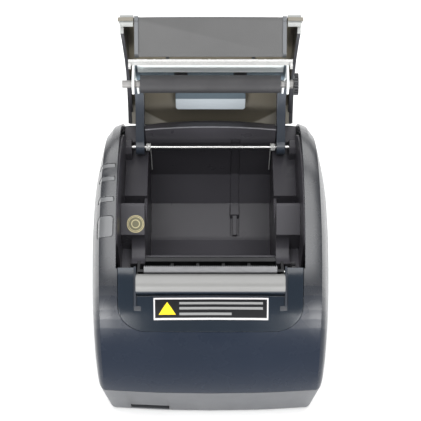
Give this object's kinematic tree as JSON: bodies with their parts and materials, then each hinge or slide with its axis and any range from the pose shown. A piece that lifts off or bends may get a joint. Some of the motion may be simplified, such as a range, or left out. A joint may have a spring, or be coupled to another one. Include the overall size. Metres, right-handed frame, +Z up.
{
  "type": "receipt printer",
  "caption": "Receipt printer for 80 mm paper with a rounded housing, hinged lid carrying the platen roller, cutter cover with tear bar, side buttons and a wide paper bay.",
  "frame": {"origin": "centre of the open printer's bounding box, on the surface that its feet stand on", "axes": "+Z up, front of the printer towards -Y, +X to the right as seen from the front; stored with the lid open"},
  "size_m": [0.148, 0.1922, 0.1984],
  "materials": {
    "shell": "satin dark blue-grey moulded plastic",
    "base": "fine-grained dark grey moulded plastic",
    "tub": "smooth black moulded plastic",
    "chute": "fine-grained mid grey moulded plastic",
    "arm": "dark navy moulded plastic",
    "roller": "ground rubber sleeve",
    "foot": "soft rubber",
    "steel": "bright drawn and ground steel",
    "bracket": "zinc-plated pressed steel",
    "gear": "black acetal",
    "board": "green solder mask",
    "motor": "plated steel can",
    "lens": "smoked clear plastic",
    "label": "printed black film with plain pale bars",
    "sticker": "dull gold foil with plain rings",
    "port_plastic": "black plastic",
    "port_metal": "tinned steel shell"
  },
  "bodies": {
    "body": {"top_cover": "shell", "side_case": "shell", "connector_panel": "shell", "base_tray": "base", "paper_tub": "tub", "near_end_sensor": "tub", "foot_front_left": "foot", "foot_front_right": "foot", "foot_rear_left": "foot", "foot_rear_right": "foot", "hinge_rod": "steel", "hinge_spring_left": "steel", "hinge_spring_right": "steel", "tear_bar": "steel", "head_spring_left": "steel", "head_spring_right": "steel", "head_spring_beam": "steel", "large_idler_post": "steel", "small_idler_post": "steel", "base_screw_1": "steel", "base_screw_2": "steel", "base_screw_3": "steel", "base_screw_4": "steel", "mechanism_frame": "gear", "main_board": "board", "control_board": "board", "feed_motor": "motor", "cutter_motor": "motor", "power_window": "lens", "error_window": "lens", "paper_window": "lens", "round_sticker": "sticker", "dc_inlet": "port_plastic", "power_switch_housing": "port_plastic", "drawer_port": "port_metal", "lan_port": "port_metal", "usb_port": "port_metal"},
    "lid": {"lid_shell": "shell", "lid_chute": "chute", "lid_arm_left": "arm", "lid_arm_right": "arm", "platen_bracket": "bracket", "fixed_blade": "steel", "platen_bush_left": "steel", "platen_bush_right": "steel", "roll_damper": "bracket"},
    "platen": {"platen_rubber": "roller", "platen_shaft": "steel", "platen_gear": "gear"},
    "large_idler_body": {"large_idler": "gear"},
    "small_idler_body": {"small_idler": "gear"},
    "feed_pinion_body": {"feed_pinion": "gear"},
    "cutter_gear_body": {"cutter_gear": "gear"},
    "cutter_pinion_body": {"cutter_pinion": "gear"},
    "blade": {"moving_blade": "steel"},
    "head": {"print_head": "gear"},
    "button": {"feed_button": "shell"},
    "cover": {"cutter_cover": "shell", "label_plate": "label"},
    "rocker": {"power_rocker": "port_plastic"}
  },
  "joints": [
    {"name": "lid_hinge", "type": "hinge", "parent": "body", "child": "lid", "pos_m": [0, 0.0599, 0.086], "axis": [1, 0, 0], "range_deg": [0, 81.9], "stiffness_Nm_per_rad": 0.03, "springref_deg": -17.19},
    {"name": "platen_spin", "type": "hinge", "parent": "lid", "child": "platen", "pos_m": [0, 0.05003, 0.16671], "axis": [1, 0, 0], "continuous": true},
    {"name": "large_idler_spin", "type": "hinge", "parent": "body", "child": "large_idler_body", "pos_m": [0, -0.04913, 0.07464], "axis": [1, 0, 0], "continuous": true},
    {"name": "small_idler_spin", "type": "hinge", "parent": "body", "child": "small_idler_body", "pos_m": [0, -0.0349, 0.0846], "axis": [1, 0, 0], "continuous": true},
    {"name": "feed_pinion_spin", "type": "hinge", "parent": "body", "child": "feed_pinion_body", "pos_m": [0, -0.0491, 0.0587], "axis": [1, 0, 0], "continuous": true},
    {"name": "cutter_gear_turn", "type": "hinge", "parent": "body", "child": "cutter_gear_body", "pos_m": [0, -0.0552, 0.08], "axis": [1, 0, 0], "range_deg": [0, 181]},
    {"name": "cutter_pinion_turn", "type": "hinge", "parent": "body", "child": "cutter_pinion_body", "pos_m": [0, -0.0532, 0.06729], "axis": [1, 0, 0], "range_deg": [-440, 1]},
    {"name": "blade_slide", "type": "slide", "parent": "body", "child": "blade", "axis": [0, 1, 0], "range_m": [0, 0.008]},
    {"name": "head_pivot", "type": "hinge", "parent": "body", "child": "head", "pos_m": [0, -0.0293, 0.073], "axis": [1, 0, 0], "range_deg": [0, 1.2], "stiffness_Nm_per_rad": 4, "springref_deg": -1.72},
    {"name": "feed_button_press", "type": "slide", "parent": "body", "child": "button", "axis": [0, 0, -1], "range_m": [0, 0.001], "stiffness_N_per_m": 300, "springref_m": -0.0008},
    {"name": "cutter_cover_lift", "type": "slide", "parent": "body", "child": "cover", "axis": [0, -0.7071, 0.7071], "range_m": [0, 0.012]},
    {"name": "power_rocker_tilt", "type": "hinge", "parent": "body", "child": "rocker", "pos_m": [-0.0395, -0.0827, 0.0081], "axis": [0, 0, 1], "range_deg": [0, 14]}
  ],
  "couplings": [
    {"joint": "small_idler_spin", "follows": "large_idler_spin", "ratio": -1.875},
    {"joint": "feed_pinion_spin", "follows": "large_idler_spin", "ratio": -2.5},
    {"joint": "cutter_pinion_turn", "follows": "blade_slide", "rad_per_m": -942.48},
    {"joint": "cutter_gear_turn", "follows": "blade_slide", "rad_per_m": 392.7}
  ]
}
